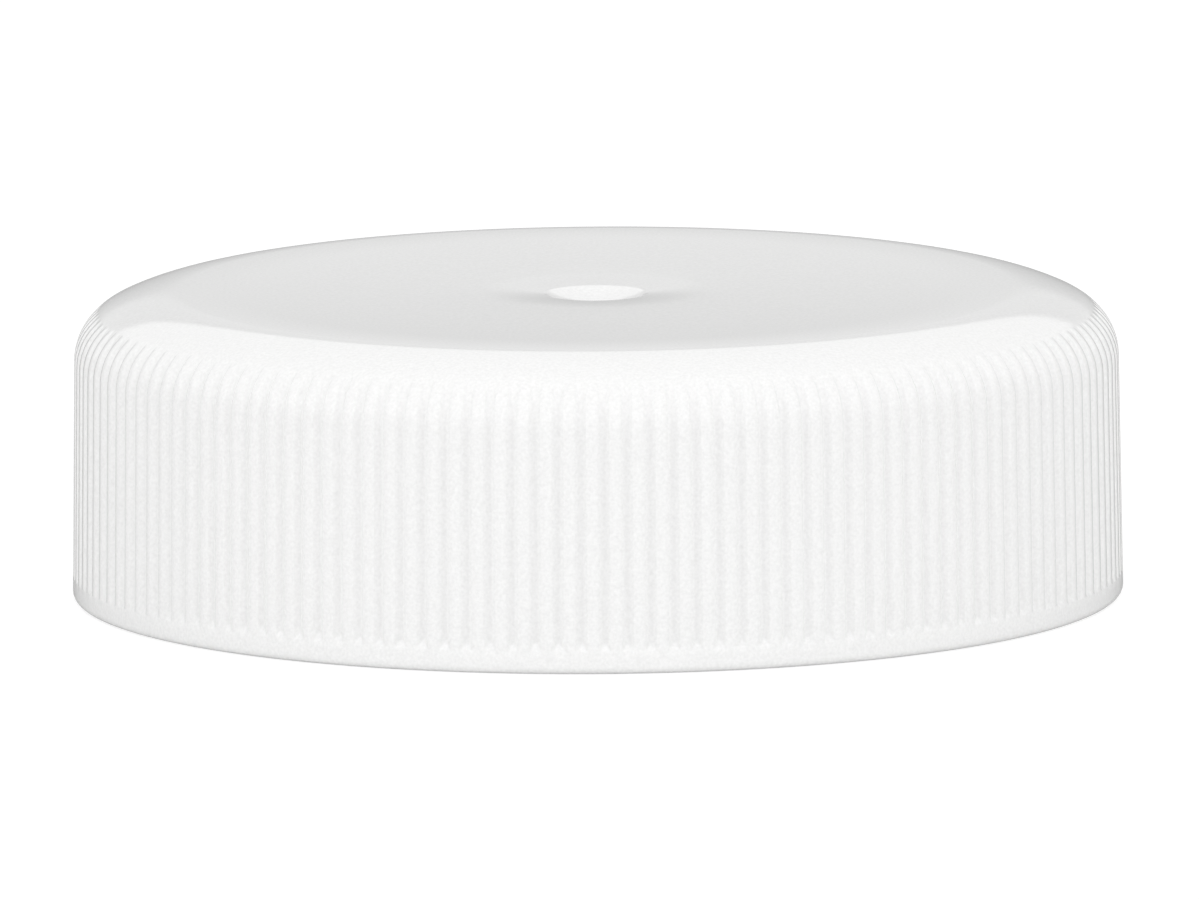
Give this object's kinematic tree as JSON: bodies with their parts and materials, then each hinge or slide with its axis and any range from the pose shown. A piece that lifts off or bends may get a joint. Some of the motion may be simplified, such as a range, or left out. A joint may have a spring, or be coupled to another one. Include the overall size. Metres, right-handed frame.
{
  "type": "foam-lined screw cap",
  "caption": "Shallow round screw cap with a finely ribbed skirt, rounded shoulder, central gate mark, internal thread and a foam liner disc.",
  "frame": {"origin": "centre of the open rim, in the plane that the cap stands on", "axes": "+Z along the cap's axis, from the open rim to the closed top; the thread's lower end starts on +X"},
  "size_m": [0.0406, 0.0406, 0.0119],
  "materials": {
    "cap_plastic": "satin white polypropylene",
    "liner_foam": "white closed-cell polyethylene foam with thin skins"
  },
  "bodies": {
    "root": {"cap_shell": "cap_plastic", "foam_liner": "liner_foam"}
  },
  "joints": []
}
